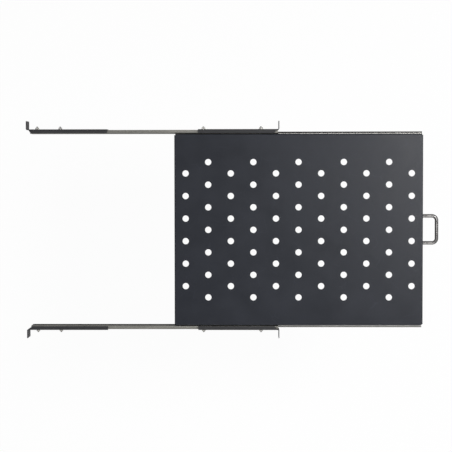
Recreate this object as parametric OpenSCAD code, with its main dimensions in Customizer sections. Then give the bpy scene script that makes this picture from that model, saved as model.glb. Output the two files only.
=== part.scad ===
// Sliding rack shelf, one unit high, for a 19 inch rack.
// X runs across the rack, the shelf pulls out towards -Y and Z is up.
// The origin is the middle of the front mounting pattern, on the plane where the front ears meet the rack.

/* [Rack mounting] */
// Overall width across the ears
ear_span = 482.6; // [478:0.1:490]
// Distance from an ear's tip to the middle of its slots
slot_margin = 8.75; // [7:0.05:10]
// Distance between the mounting slots up the rack
slot_rise = 31.75; // [25:0.05:33]
// Length of a mounting slot, end to end
slot_len = 10.4; // [8:0.1:12]
// Width of a mounting slot
slot_w = 6.8; // [5:0.1:8]
// How far an ear stands out from the slide
ear_reach = 19.8; // [19:0.1:24]
// How much further back than the shelf's depth the rear ears stand
rear_clearance = 8.5; // [6:0.5:50]

/* [Brackets] */
// Height of a bracket and its ear
bracket_h = 43.5; // [42:0.1:44.5]
// Thickness of the bracket sheet
bracket_t = 1.5; // [1:0.1:2]
// Length of a bracket behind its ear
bracket_len = 178.5; // [175:0.5:200]
// How far a bracket's flanges reach in over the slide
bracket_flange = 8.5; // [6:0.1:9]
// Inside radius of the bracket's bends
bracket_bend_r = 1; // [0.5:0.1:1.5]
// Corner radius of the ears
ear_corner_r = 2; // [1:0.1:4]
// Start of the flange's slanted end, at the web
mitre_near = 3; // [2.6:0.1:5]
// End of the flange's slanted end, at the flange's tip
mitre_far = 9; // [6:0.1:14]
// Distance from the front ear to the first front screw
front_screw_y = 39; // [20:0.5:45]
// Distance between the two front screws
front_screw_pitch = 128; // [60:0.5:130]
// Distance from the rear ear to the first rear screw
rear_screw_y = 21; // [18:0.5:40]
// Distance between the two rear screws
rear_screw_pitch = 51.5; // [30:0.5:60]
// How far the rear brackets can be drawn out to a deeper rack
rear_adjust = 95; // [40:1:95]

/* [Shelf] */
// Depth of the shelf and its slides
shelf_d = 550; // [500:1:600]
// Thickness of the shelf sheet
shelf_t = 1.5; // [1:0.1:2]
// Height of the shelf's top above the middle of the slides
shelf_rise = 22.2; // [20:0.1:24]
// Height of the side flanges and the front lip
flange_h = 38.2; // [34:0.1:42]
// Height of the rear lip
rear_lip_h = 20; // [10:0.5:38]
// Inside radius of the shelf's bends
shelf_bend_r = 0.8; // [0.4:0.1:2]
// Diameter of a vent hole
vent_d = 14; // [6:0.5:20]
// Distance between vent holes in a row
vent_pitch = 50; // [40:1:60]
// Distance from the shelf's ends to the first vents
vent_inset = 25; // [20:1:40]
// Least sheet left between a vent and the side
vent_margin = 40; // [20:1:60]
// How far the shelf is drawn out at rest
pull_out = 317; // [100:1:330]
// How far the closed shelf stands in front of the rack
front_stand = 2; // [1.6:0.1:6]

/* [Handle] */
// Distance between the handle's legs
handle_span = 60; // [40:1:200]
// Distance from the front lip to the middle of the grip
handle_reach = 32; // [24:0.5:50]
// Diameter of the handle's rod
rod_d = 8; // [6:0.5:10]
// Bend radius at the middle of the rod
rod_bend_r = 10; // [8:0.5:14]
// Height of the handle above the middle of the slides
handle_z = 3; // [-6:0.5:10]
// Depth of the threaded hole in each leg
handle_bore_len = 12; // [8:0.5:16]

/* [Slides] */
// Side space that a slide takes up
slide_space = 9.5; // [9.3:0.1:10.5]
// Height of the cabinet member
slide_h = 35; // [34:0.1:37]
// Thickness of the slide sheet
slide_t = 1; // [0.9:0.05:1.1]
// Inside radius of the slide's bends
slide_bend_r = 0.5; // [0.3:0.1:0.8]
// Distance from the front ears to the cabinet member
cabinet_setback = 1; // [0.5:0.1:4]
// Height of the raised bead over the balls
bead_rise = 0.6; // [0.3:0.05:0.8]
// Height of the drawer member
drawer_h = 26.4; // [25.6:0.1:26.8]
// How much the drawer member falls short of the shelf at each end
drawer_inset = 2; // [1:0.1:10]
// Diameter of a ball
ball_d = 3.5; // [3.2:0.05:3.6]
// Play between a ball and its races
ball_play = 0.12; // [0.05:0.01:0.2]
// Distance from the shelf's side to the middle of the balls
ball_offset = 3.9; // [3.8:0.05:4.1]
// Number of balls in a row
ball_count = 11; // [6:1:11]
// Distance between balls in a row
ball_pitch = 12; // [6:0.5:12]
// Thickness of the cage sheet
cage_t = 0.5; // [0.3:0.05:0.6]
// Length of the cage
cage_len = 130; // [126:0.5:130]
// Distance from the cabinet web to the cage
cage_gap = 1.95; // [1.9:0.05:2.2]
// Length of the oblong holes in the slides' webs
web_slot_len = 12; // [8:0.5:20]
// Width of the oblong holes in the slides' webs
web_slot_w = 4.6; // [3.5:0.1:6]

/* [Fasteners] */
// Diameter of the screws
screw_d = 4; // [3:0.1:4.2]
// Diameter of a screw's head
head_d = 7.6; // [6:0.1:9]
// Height of a screw's head
head_h = 1.6; // [1:0.1:1.7]
// Width across the flats of a nut
nut_af = 7; // [5.5:0.1:8]
// Height of a nut with its flange
nut_h = 4.2; // [3:0.1:5]
// Diameter of a nut's flange
nut_flange_d = 10; // [8:0.1:11]
// Thickness of a nut's flange at its rim
nut_flange_t = 0.8; // [0.5:0.1:1.2]
// How far a screw stands out past its nut
screw_tip = 2.4; // [1:0.1:4]
// Gap round a screw in a plain hole
hole_play = 0.3; // [0.2:0.05:0.5]
// Gap round a screw in its thread
thread_play = 0.05; // [0.02:0.01:0.1]

/* [Stops] */
// Height of the stop tabs that end the cage's run
tab_h = 8; // [5:0.5:10]
// Gap between the stop tabs and what passes them
tab_gap = 0.5; // [0.3:0.05:0.8]
// Height of the rubber bumper
bumper_h = 24; // [16:0.5:25]
// Diameter of the bumper's peg
bumper_peg_d = 3; // [2:0.1:3.6]
// Gap between pieces that stop against each other
stop_gap = 0.3; // [0.2:0.05:0.5]

/* [Hidden] */
$fn = 48;

// Flat steps in the arc of a bent sheet
arc_steps = 6;
// Overrun of every cut
over = 1;
// Angles, from the balls' centres, where the races end
cabinet_race_end = 195;
drawer_race_end = 300;
// Where the shelf's screws and the oblong holes stand along the slides
shelf_screw_shares = [0.065, 0.355, 0.645, 0.935];
drawer_slot_shares = [0.21, 0.5, 0.79];
cabinet_slot_shares = [0.37, 0.5, 0.63];

// Planes across the rack, from the shelf outwards
shelf_x = ear_span / 2 - ear_reach - slide_space;
cabinet_x = shelf_x + slide_space;
bracket_x = cabinet_x + bracket_t;
cage_x = cabinet_x - slide_t - cage_gap - cage_t;

// Stations along the rack, front to rear
mount_depth = shelf_d + rear_clearance;
shelf_front = -front_stand - pull_out;
shelf_rear = shelf_front + shelf_d;
drawer_front = shelf_front + drawer_inset;
drawer_rear = shelf_rear - drawer_inset;
cabinet_rear = cabinet_setback + shelf_d;
bumper_front = drawer_rear + pull_out + stop_gap;
cage_mid = (cabinet_setback + drawer_rear) / 2;

// Races
race_r = ball_d / 2 + ball_play;
ball_x = shelf_x + ball_offset;
ball_z = slide_h / 2 - slide_t - race_r;
cabinet_flange_z = slide_h / 2 - bead_rise;
drawer_flange_z = drawer_h / 2;

// Screws
screw_hole_r = screw_d / 2 + hole_play;
tip_cone = screw_d / 4;
front_screws = [for (i = [0:1]) front_screw_y + i * front_screw_pitch];
rear_screws = [for (i = [0:1]) mount_depth - rear_screw_y - i * rear_screw_pitch];
shelf_screws_y = [for (s = shelf_screw_shares) drawer_front + s * (drawer_rear - drawer_front)];

// Colours
black_coat = [0.19, 0.19, 0.2];
zinc = [0.66, 0.65, 0.62];
satin_steel = [0.62, 0.6, 0.58];
bright_steel = [0.78, 0.78, 0.8];
rubber_black = [0.1, 0.1, 0.1];

// Points of an arc about [cx, cy], from angle a0 to a1
function arc(cx, cy, r, a0, a1) =
  [for (i = [0:arc_steps]) let (a = a0 + (a1 - a0) * i / arc_steps) [cx + r * cos(a), cy + r * sin(a)]];

// The same points below the centre line, in the other order
function below(points) = [for (i = [len(points) - 1:-1:0]) [points[i][0], -points[i][1]]];

function backwards(points) = [for (i = [len(points) - 1:-1:0]) points[i]];

// Angle at which a circle about the balls' centre crosses the level z
function race_angle(z, r) = asin((z - ball_z) / r);

// Outline of a channel: outer and inner run from its middle up to its tip
function channel(outer, inner) = concat(below(outer), outer, backwards(inner), backwards(below(inner)));

function cabinet_outer() = let (r = slide_bend_r + slide_t, x = cabinet_x - r, z = cabinet_flange_z - r)
  concat(
    arc(x, z, r, 0, 90),
    arc(ball_x, ball_z, race_r + slide_t, race_angle(cabinet_flange_z, race_r + slide_t), cabinet_race_end)
  );

function cabinet_inner() =
  let (r = slide_bend_r, x = cabinet_x - slide_t - r, z = cabinet_flange_z - slide_t - r)
  concat(
    arc(x, z, r, 0, 90),
    arc(ball_x, ball_z, race_r, race_angle(cabinet_flange_z - slide_t, race_r), cabinet_race_end)
  );

function drawer_outer() = let (r = slide_bend_r + slide_t, x = shelf_x + r, z = drawer_flange_z - r)
  concat(
    arc(x, z, r, 180, 90),
    arc(ball_x, ball_z, race_r, 180 - race_angle(drawer_flange_z, race_r), drawer_race_end)
  );

function drawer_inner() =
  let (r = slide_bend_r, x = shelf_x + slide_t + r, z = drawer_flange_z - slide_t - r, s = race_r + slide_t)
  concat(
    arc(x, z, r, 180, 90),
    arc(ball_x, ball_z, s, 180 - race_angle(drawer_flange_z - slide_t, s), drawer_race_end)
  );

// Draws the left side's pieces from the right side's
module left_side() {
  mirror([1, 0, 0]) children();
}

// A profile in X and Z that runs from y0 to y1
module run(y0, y1) {
  translate([0, y1, 0]) rotate([90, 0, 0]) linear_extrude(height = y1 - y0) children();
}

// A rod along X from x0 to x1
module rod_x(r, x0, x1) {
  translate([x0, 0, 0]) rotate([0, 90, 0]) cylinder(r = r, h = x1 - x0);
}

// A block between two corners
module block(low, high) {
  translate(low) cube(high - low);
}

// A screw with its head's seat at x = 0 and its shank towards +X
module screw(shank) {
  cone = screw_d / 2 - tip_cone;
  difference() {
    rotate([0, 90, 0]) rotate_extrude() polygon([
      [0, -head_h],
      [head_d / 2 - head_h / 2, -head_h],
      [head_d / 2, -head_h / 2],
      [head_d / 2, 0],
      [screw_d / 2, 0],
      [screw_d / 2, shank - cone],
      [tip_cone, shank],
      [0, shank]
    ]);
    for (turn = [0, 90]) rotate([turn, 0, 0]) {
      block([-head_h - over, -head_d / 4, -head_d / 16], [-head_h / 2, head_d / 4, head_d / 16]);
    }
  }
}

// A flanged nut that sits at x = 0 and stands towards +X
module nut() {
  difference() {
    union() {
      rotate([0, 90, 0]) cylinder(r = nut_af / sqrt(3), h = nut_h, $fn = 6);
      rotate([0, 90, 0]) cylinder(r = nut_flange_d / 2, h = nut_flange_t);
      translate([nut_flange_t, 0, 0]) rotate([0, 90, 0])
        cylinder(r1 = nut_flange_d / 2, r2 = nut_af / 2, h = nut_flange_t);
    }
    rod_x(screw_d / 2 + thread_play, -over, nut_h + over);
  }
}

// A slot along X, centred on the origin and cut through along Y
module slot_cut(length, width, depth) {
  r = width / 2;
  reach = length / 2 - r;
  rotate([-90, 0, 0]) translate([0, 0, -depth]) {
    for (side = [-1, 1]) translate([side * reach, 0, 0]) cylinder(r = r, h = 2 * depth);
    translate([-reach, -r, 0]) cube([2 * reach, width, 2 * depth]);
  }
}

// Takes the square corner off an ear, at the origin, leaving a round one inside
module ear_corner_cut() {
  difference() {
    block([-ear_corner_r, -bracket_t - over, -ear_corner_r], [over, over, over]);
    translate([-ear_corner_r, over + over, -ear_corner_r]) rotate([90, 0, 0])
      cylinder(r = ear_corner_r, h = bracket_t + 4 * over);
  }
}

// The bent end of a bracket, as an outline in X and Y: a stub of the web, the bend and the ear
function ear_outline() = let (r = bracket_bend_r, x = bracket_x + r)
  concat(
    [[cabinet_x, mitre_near]],
    arc(x, r, r + bracket_t, 180, 270),
    [[ear_span / 2, -bracket_t], [ear_span / 2, 0]],
    arc(x, r, r, 270, 180),
    [[bracket_x, mitre_near]]
  );

// The bracket's channel: a web and two flanges that reach in over the slide
function bracket_outer() = let (r = bracket_bend_r + bracket_t, x = bracket_x - r, z = bracket_h / 2 - r)
  concat(arc(x, z, r, 0, 90), [[bracket_x - bracket_flange, bracket_h / 2]]);

function bracket_inner() =
  let (r = bracket_bend_r, x = cabinet_x - r, z = bracket_h / 2 - bracket_t - r)
  concat(arc(x, z, r, 0, 90), [[bracket_x - bracket_flange, bracket_h / 2 - bracket_t]]);

// A bracket whose ear's rear face lies at y = 0 and whose web runs towards +Y
module bracket_blank() {
  bend = bracket_bend_r + bracket_t;
  tip = bracket_x - bracket_flange;
  difference() {
    run(bracket_bend_r, bracket_len) polygon(channel(bracket_outer(), bracket_inner()));
    for (side = [0, 1]) mirror([0, 0, side]) translate([0, 0, bracket_h / 2 - bend])
      linear_extrude(height = bend + over) polygon([
        [bracket_x + over, 0],
        [bracket_x + over, mitre_near],
        [bracket_x, mitre_near],
        [tip, mitre_far],
        [tip - over, mitre_far],
        [tip - over, 0]
      ]);
  }
  difference() {
    translate([0, 0, -bracket_h / 2]) linear_extrude(height = bracket_h) polygon(ear_outline());
    for (side = [0, 1]) mirror([0, 0, side]) {
      translate([ear_span / 2, 0, bracket_h / 2]) ear_corner_cut();
      translate([ear_span / 2 - slot_margin, 0, slot_rise / 2]) slot_cut(slot_len, slot_w, bracket_t + over);
    }
  }
}

module front_bracket() {
  color(black_coat) difference() {
    bracket_blank();
    for (y = front_screws) translate([0, y, 0])
      rod_x(screw_hole_r, cabinet_x - over, bracket_x + over);
  }
}

module rear_bracket() {
  first = rear_screws[0];
  last = rear_screws[1] - rear_adjust;
  color(black_coat) difference() {
    translate([0, mount_depth, 0]) mirror([0, 1, 0]) bracket_blank();
    for (y = [first, last]) translate([0, y, 0])
      rod_x(screw_hole_r, cabinet_x - over, bracket_x + over);
    block([cabinet_x - over, last, -screw_hole_r], [bracket_x + over, first, screw_hole_r]);
  }
}

// Screws from inside the cabinet member, out through the bracket
module bracket_screws(places) {
  color(zinc) for (y = places) translate([cabinet_x - slide_t, y, 0])
    screw(slide_t + bracket_t + nut_h + screw_tip);
}

module bracket_nuts(places) {
  color(zinc) for (y = places) translate([bracket_x, y, 0]) nut();
}

// Oblong holes through a slide's web, which starts at x and runs from y0 to y1
module web_slots(x, shares, y0, y1) {
  r = web_slot_w / 2;
  reach = web_slot_len / 2 - r;
  for (s = shares) translate([0, y0 + s * (y1 - y0), 0]) {
    block([x - over, -reach, -r], [x + slide_t + over, reach, r]);
    for (side = [-1, 1]) translate([0, side * reach, 0]) rod_x(r, x - over, x + slide_t + over);
  }
}

// Outer channel of the slide, with a raised bead over each row of balls
module cabinet_member() {
  web = cabinet_x - slide_t;
  color(zinc) {
    difference() {
      run(cabinet_setback, cabinet_rear) polygon(channel(cabinet_outer(), cabinet_inner()));
      for (y = concat(front_screws, rear_screws)) translate([0, y, 0])
        rod_x(screw_hole_r, web - over, cabinet_x + over);
      web_slots(web, cabinet_slot_shares, cabinet_setback, cabinet_rear);
      translate([0, (bumper_front + cabinet_rear) / 2, 0])
        rod_x(bumper_peg_d / 2 + thread_play, web - over, cabinet_x + over);
      block(
        [web - over, cabinet_setback + slide_t, -tab_h / 2],
        [cabinet_x + over, cabinet_setback + slide_t + cage_gap, tab_h / 2]
      );
    }
    block([cage_x, cabinet_setback, -tab_h / 2], [cabinet_x, cabinet_setback + slide_t, tab_h / 2]);
  }
}

// Inner channel of the slide, with a groove under each row of balls
module drawer_member() {
  web = shelf_x + slide_t;
  tab_x = cage_x + cage_t - tab_gap / 4;
  color(zinc) {
    difference() {
      run(drawer_front, drawer_rear) polygon(channel(drawer_outer(), drawer_inner()));
      for (y = shelf_screws_y) translate([0, y, 0]) rod_x(screw_hole_r, shelf_x - over, web + over);
      web_slots(shelf_x, drawer_slot_shares, drawer_front, drawer_rear);
      block(
        [shelf_x - over, drawer_rear - slide_t - (tab_x - web), -tab_h / 2],
        [web + over, drawer_rear - slide_t, tab_h / 2]
      );
    }
    block([shelf_x, drawer_rear - slide_t, -tab_h / 2], [tab_x, drawer_rear, tab_h / 2]);
  }
}

// Thin channel that keeps the balls apart, with a pocket for each
module ball_cage() {
  flange_z = ball_z + cage_t / 2;
  tip = ball_x - ball_d / 2 + tab_gap;
  color(bright_steel) difference() {
    translate([0, cage_mid - cage_len / 2, -flange_z]) difference() {
      cube([cage_x + cage_t, cage_len, 2 * flange_z]);
      translate([-over, -over, -over]) cube([tip + over, cage_len + 2 * over, 2 * (flange_z + over)]);
      translate([-over, -over, cage_t])
        cube([cage_x + over, cage_len + 2 * over, 2 * (flange_z - cage_t)]);
    }
    for (i = [0:ball_count - 1], side = [-1, 1])
      translate([ball_x, cage_mid + (i - (ball_count - 1) / 2) * ball_pitch, side * ball_z])
        cylinder(r = race_r, h = cage_t + over, center = true);
  }
}

module balls() {
  color(bright_steel) for (i = [0:ball_count - 1], side = [-1, 1])
    translate([ball_x, cage_mid + (i - (ball_count - 1) / 2) * ball_pitch, side * ball_z])
      sphere(r = ball_d / 2);
}

// Rubber block that stops the drawer member, held by a peg in the cabinet web
module rear_bumper() {
  web = cabinet_x - slide_t;
  color(rubber_black) {
    block(
      [shelf_x + slide_t + stop_gap, bumper_front, -bumper_h / 2],
      [web, cabinet_rear, bumper_h / 2]
    );
    translate([0, (bumper_front + cabinet_rear) / 2, 0])
      rod_x(bumper_peg_d / 2, web - over, cabinet_x);
  }
}

// Outline of a sheet that turns down at its edge, from the middle to the end of the bend
function turned_down(reach) = let (r = shelf_bend_r, s = r + shelf_t)
  concat(
    [[0, shelf_rise]],
    arc(reach - s, shelf_rise - s, s, 90, 0),
    arc(reach - s, shelf_rise - s, r, 0, 90),
    [[0, shelf_rise - shelf_t]]
  );

function vent_rows(column) = let (most = floor((shelf_x - vent_margin) / vent_pitch))
  column % 2 == 0 ? [for (i = [-most:most - 1]) (i + 1 / 2) * vent_pitch] : [for (i = [-most:most]) i * vent_pitch];

// The sheet's flat top, with its vents and the bend at each edge
module shelf_plate() {
  corner = shelf_bend_r + shelf_t;
  columns = floor((shelf_d - 2 * vent_inset) / vent_pitch);
  color(black_coat) difference() {
    union() {
      for (side = [0, 1]) mirror([side, 0, 0])
        run(shelf_front + corner, shelf_rear - corner) polygon(turned_down(shelf_x));
      translate([0, shelf_front + shelf_d / 2, 0]) for (turn = [-90, 90])
        rotate([0, 0, turn]) run(-shelf_x + corner, shelf_x - corner) polygon(turned_down(shelf_d / 2));
    }
    for (i = [0:columns], x = vent_rows(i))
      translate([x, shelf_front + vent_inset + i * vent_pitch, shelf_rise - shelf_t - over])
        cylinder(r = vent_d / 2, h = shelf_t + 2 * over);
  }
}

// The same sheet below its bends: two side flanges, the front lip and the rear lip
module shelf_flanges() {
  corner = shelf_bend_r + shelf_t;
  inner_side = shelf_x - shelf_t;
  fold = shelf_rise - corner;
  color(black_coat) difference() {
    union() {
      for (side = [0, 1]) mirror([side, 0, 0])
        block([inner_side, shelf_front + corner, shelf_rise - flange_h], [shelf_x, shelf_rear - corner, fold]);
      block(
        [-shelf_x + corner, shelf_front, shelf_rise - flange_h],
        [shelf_x - corner, shelf_front + shelf_t, fold]
      );
      block(
        [-shelf_x + corner, shelf_rear - shelf_t, shelf_rise - rear_lip_h],
        [shelf_x - corner, shelf_rear, fold]
      );
    }
    for (y = shelf_screws_y, side = [0, 1]) mirror([side, 0, 0]) translate([0, y, 0])
      rod_x(screw_hole_r, inner_side - over, shelf_x + over);
    for (side = [-1, 1]) translate([side * handle_span / 2, shelf_front - over, handle_z])
      rotate([-90, 0, 0]) cylinder(r = screw_hole_r, h = shelf_t + 2 * over);
  }
}

// Screws from inside the drawer member, in through the shelf's flange
module shelf_screws() {
  color(zinc) for (y = shelf_screws_y) translate([shelf_x + slide_t, y, 0]) rotate([0, 0, 180])
    screw(slide_t + shelf_t + nut_h + screw_tip / 2);
}

module shelf_nuts() {
  color(zinc) for (y = shelf_screws_y) translate([shelf_x - shelf_t, y, 0]) rotate([0, 0, 180]) nut();
}

// One rod bent twice, with a threaded hole in the end of each leg
module handle() {
  leg = handle_reach - rod_bend_r;
  color(satin_steel) translate([0, shelf_front, handle_z]) difference() {
    union() {
      for (side = [0, 1]) mirror([side, 0, 0]) {
        translate([handle_span / 2, 0, 0]) rotate([90, 0, 0]) cylinder(r = rod_d / 2, h = leg);
        translate([handle_span / 2 - rod_bend_r, -leg, 0]) rotate([0, 0, -90])
          rotate_extrude(angle = 90) translate([rod_bend_r, 0]) circle(r = rod_d / 2);
      }
      translate([0, -handle_reach, 0])
        rod_x(rod_d / 2, rod_bend_r - handle_span / 2, handle_span / 2 - rod_bend_r);
    }
    for (side = [-1, 1]) translate([side * handle_span / 2, over, 0]) rotate([90, 0, 0])
      cylinder(r = screw_d / 2 + thread_play, h = handle_bore_len + over);
  }
}

// Screws from inside the front lip into the handle's legs
module handle_screws() {
  color(zinc) for (side = [-1, 1])
    translate([side * handle_span / 2, shelf_front + shelf_t, handle_z]) rotate([0, 0, -90])
      screw(shelf_t + handle_bore_len - screw_tip);
}

shelf_plate();
shelf_flanges();
handle();
handle_screws();
drawer_member();  // right_drawer_member
left_side() drawer_member();  // left_drawer_member
cabinet_member();  // right_cabinet_member
left_side() cabinet_member();  // left_cabinet_member
ball_cage();  // right_ball_cage
left_side() ball_cage();  // left_ball_cage
balls();  // right_balls
left_side() balls();  // left_balls
front_bracket();  // right_front_bracket
left_side() front_bracket();  // left_front_bracket
rear_bracket();  // right_rear_bracket
left_side() rear_bracket();  // left_rear_bracket
bracket_screws(front_screws);  // right_front_bracket_screws
left_side() bracket_screws(front_screws);  // left_front_bracket_screws
bracket_nuts(front_screws);  // right_front_bracket_nuts
left_side() bracket_nuts(front_screws);  // left_front_bracket_nuts
bracket_screws(rear_screws);  // right_rear_bracket_screws
left_side() bracket_screws(rear_screws);  // left_rear_bracket_screws
bracket_nuts(rear_screws);  // right_rear_bracket_nuts
left_side() bracket_nuts(rear_screws);  // left_rear_bracket_nuts
shelf_screws();  // right_shelf_screws
left_side() shelf_screws();  // left_shelf_screws
shelf_nuts();  // right_shelf_nuts
left_side() shelf_nuts();  // left_shelf_nuts
rear_bumper();  // right_rear_bumper
left_side() rear_bumper();  // left_rear_bumper
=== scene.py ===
from math import pi, radians, sqrt

import bmesh
import bpy
from mathutils import Matrix, Vector


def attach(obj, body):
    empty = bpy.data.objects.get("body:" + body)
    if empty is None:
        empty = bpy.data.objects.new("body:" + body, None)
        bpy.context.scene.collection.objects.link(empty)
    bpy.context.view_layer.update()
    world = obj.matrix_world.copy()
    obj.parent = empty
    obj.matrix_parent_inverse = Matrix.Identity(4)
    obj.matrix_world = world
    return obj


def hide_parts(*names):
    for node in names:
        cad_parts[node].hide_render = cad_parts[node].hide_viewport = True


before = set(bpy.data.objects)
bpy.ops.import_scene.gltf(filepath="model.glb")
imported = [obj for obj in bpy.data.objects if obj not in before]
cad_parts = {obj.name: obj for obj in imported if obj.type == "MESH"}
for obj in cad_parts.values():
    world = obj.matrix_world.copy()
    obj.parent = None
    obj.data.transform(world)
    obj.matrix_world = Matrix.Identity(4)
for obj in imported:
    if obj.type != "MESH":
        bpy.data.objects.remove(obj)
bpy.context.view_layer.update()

# Sliding rack shelf. Sizes are in millimetres here and become metres with MM.
MM = 0.001

# Rack mounting, and how far the shelf is drawn out
EAR_SPAN = 482.6
EAR_REACH = 19.8
REAR_CLEARANCE = 8.5
PULL_OUT = 317.0
FRONT_STAND = 2.0

# Sheet thicknesses, and how far cut edges are broken
SHELF_T = 1.5
BRACKET_T = 1.5
SLIDE_T = 1.0
SLIDE_EDGE = 0.14
COATED_EDGE = 0.22

# Planes across the rack, from the shelf outwards
SLIDE_SPACE = 9.5
SHELF_X = EAR_SPAN / 2 - EAR_REACH - SLIDE_SPACE
CABINET_X = SHELF_X + SLIDE_SPACE
BRACKET_X = CABINET_X + BRACKET_T

# Stations along the rack, front to rear
SHELF_D = 550.0
DRAWER_INSET = 2.0
CABINET_SETBACK = 1.0
MOUNT_DEPTH = SHELF_D + REAR_CLEARANCE
SHELF_FRONT = -FRONT_STAND - PULL_OUT
SHELF_REAR = SHELF_FRONT + SHELF_D
DRAWER_FRONT = SHELF_FRONT + DRAWER_INSET
DRAWER_REAR = SHELF_REAR - DRAWER_INSET
CABINET_REAR = CABINET_SETBACK + SHELF_D

# Stations of the screws
FRONT_SCREW_Y = 39.0
FRONT_SCREW_PITCH = 128.0
REAR_SCREW_Y = 21.0
REAR_SCREW_PITCH = 51.5
FRONT_SCREWS = (FRONT_SCREW_Y, FRONT_SCREW_Y + FRONT_SCREW_PITCH)
REAR_SCREWS = (MOUNT_DEPTH - REAR_SCREW_Y - REAR_SCREW_PITCH, MOUNT_DEPTH - REAR_SCREW_Y)
SHELF_SCREW_SHARES = (0.065, 0.355, 0.645, 0.935)
SHELF_SCREWS = tuple(DRAWER_FRONT + share * (DRAWER_REAR - DRAWER_FRONT) for share in SHELF_SCREW_SHARES)

# Shelf plate
SHELF_TOP = 22.2
SHELF_BEND_R = 0.8
SHELF_CORNER_R = SHELF_BEND_R + SHELF_T
SHELF_BEND_STEPS = 8
FLANGE_H = 38.2
REAR_LIP_H = 20.0
VENT_D = 14.0
VENT_PITCH = 50.0
VENT_INSET = 25.0
VENT_MARGIN = 40.0
VENT_COLUMNS = int((SHELF_D - 2 * VENT_INSET) / VENT_PITCH) + 1
VENT_HALF_ROW = int((SHELF_X - VENT_MARGIN) / VENT_PITCH)

# Screws
SCREW_D = 4.0
THREAD_PITCH = 0.7
CREST_EASE = 0.03
ROOT_DEPTH = 0.4
SCREW_TIP = 2.4
TIP_SHARE = 0.72
HEAD_D = 7.6
HEAD_H = 1.6
HEAD_ROUND = 1.1
SEAT_ROUND = 0.12
NECK_ROOT = 0.4
NECK_LAP = 0.2
RECESS_SPAN = 4.2
RECESS_W = 0.84
RECESS_DEPTH = 0.95
RECESS_FLOOR_SHARES = (0.45, 0.55, 1)
RECESS_PAST = 0.2

# Nuts
NUT_AF = 7.0
NUT_H = 4.2
NUT_TURNED = 0.55
NUT_TURNED_EASE = 0.02
NUT_EDGE = 0.09
NUT_FLANGE_D = 10.0
NUT_FLANGE_T = 0.8
NUT_BORE_EASE = 0.02

# Handle
HANDLE_SPAN = 60.0
HANDLE_REACH = 32.0
HANDLE_Z = 3.0
ROD_D = 8.0
ROD_SIDES = 48
ROD_BEND = 10.0
ROD_BEND_STEPS = 14
THREAD_PLAY = 0.05
BORE_D = SCREW_D + 2 * THREAD_PLAY
BORE_DEPTH = 12.0

# Shanks: the height of the tip over the seat, and where the thread starts
BRACKET_SHANK = (SLIDE_T + BRACKET_T + NUT_H + SCREW_TIP, 2.0)
SHELF_SHANK = (SLIDE_T + SHELF_T + NUT_H + SCREW_TIP / 2, 1.8)
HANDLE_SHANK = (SHELF_T + BORE_DEPTH - SCREW_TIP, 1.2)

# Punch and drill that go through the sheet
TOOL_LENGTH = 6.0
PUNCH_DEPTH = 4.0
HOLE_PLAY = 0.3
DRILL_SET_BACK = 1.0

# Balls, as they lie in their races
SLIDE_H = 35.0
BALL_D = 3.5
BALL_PLAY = 0.12
BALL_OFFSET = 3.9
BALL_COUNT = 11
BALL_PITCH = 12.0
BALL_X = SHELF_X + BALL_OFFSET
BALL_Z = SLIDE_H / 2 - SLIDE_T - BALL_D / 2 - BALL_PLAY
CAGE_MIDDLE = (CABINET_SETBACK + DRAWER_REAR) / 2

# Rear bumpers. A face step is the inset of the next ring and how far it stands out.
STOP_GAP = 0.3
BUMPER_INNER_X = SHELF_X + SLIDE_T + STOP_GAP
BUMPER_FRONT = DRAWER_REAR + PULL_OUT + STOP_GAP
BUMPER_H = 24.0
BUMPER_ROUND = 0.5
BUMPER_FACE_STEPS = ((1.3, 0), (0.3, -0.5), (0.5, 0), (0.2, 0.4))
PEG_D = 3.0
PEG_ROOT = 0.6
PEG_ROUND = 0.3

# Selecting by place: how near to a plane counts as on it, and how squarely a face looks along an axis
NEAR = 0.01
SQUARELY = 0.9

# Points that lie closer than this, in metres, become one
MERGE = 0.000002
FOLD_MERGE = 0.000005


# Selecting and shaping

def drop_selection():
    """Selects nothing, so that an operator acts only on the piece in hand."""
    if bpy.context.object and bpy.context.object.mode != "OBJECT":
        bpy.ops.object.mode_set(mode="OBJECT")
    bpy.ops.object.select_all(action="DESELECT")


def take_up(piece):
    """Makes one piece the only selected and active one."""
    drop_selection()
    piece.select_set(True)
    bpy.context.view_layer.objects.active = piece


def started(name):
    """Names the primitive that was just added and puts its place into its mesh."""
    piece = bpy.context.object
    piece.name = name
    piece.data.name = name
    bpy.ops.object.transform_apply(location=True, rotation=True, scale=True)
    return piece


def rod(name, radius, depth, low, sides):
    """A round bar that stands up along Z from a point, in millimetres."""
    drop_selection()
    middle = (low[0] * MM, low[1] * MM, (low[2] + depth / 2) * MM)
    bpy.ops.mesh.primitive_cylinder_add(
        vertices=sides, radius=radius * MM, depth=depth * MM, location=middle)
    return started(name)


def slab(name, low, high):
    """A block between two corners, in millimetres."""
    drop_selection()
    middle = [(a + b) / 2 * MM for a, b in zip(low, high)]
    bpy.ops.mesh.primitive_cube_add(size=1, location=middle)
    bpy.context.object.scale = [(b - a) * MM for a, b in zip(low, high)]
    return started(name)


def edit(piece, mode="FACE"):
    """Opens a piece for shaping, with nothing selected in it."""
    take_up(piece)
    bpy.ops.object.mode_set(mode="EDIT")
    bpy.ops.mesh.select_mode(type=mode)
    bpy.ops.mesh.select_all(action="DESELECT")


def done():
    """Closes the piece that is open for shaping."""
    bpy.ops.object.mode_set(mode="OBJECT")


def pick_faces(test):
    """Selects the faces whose middle (in mm) and normal pass a test."""
    mesh = bmesh.from_edit_mesh(bpy.context.object.data)
    bpy.ops.mesh.select_all(action="DESELECT")
    for face in mesh.faces:
        if test(face.calc_center_median() / MM, face.normal):
            face.select_set(True)
    bmesh.update_edit_mesh(bpy.context.object.data)


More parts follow.
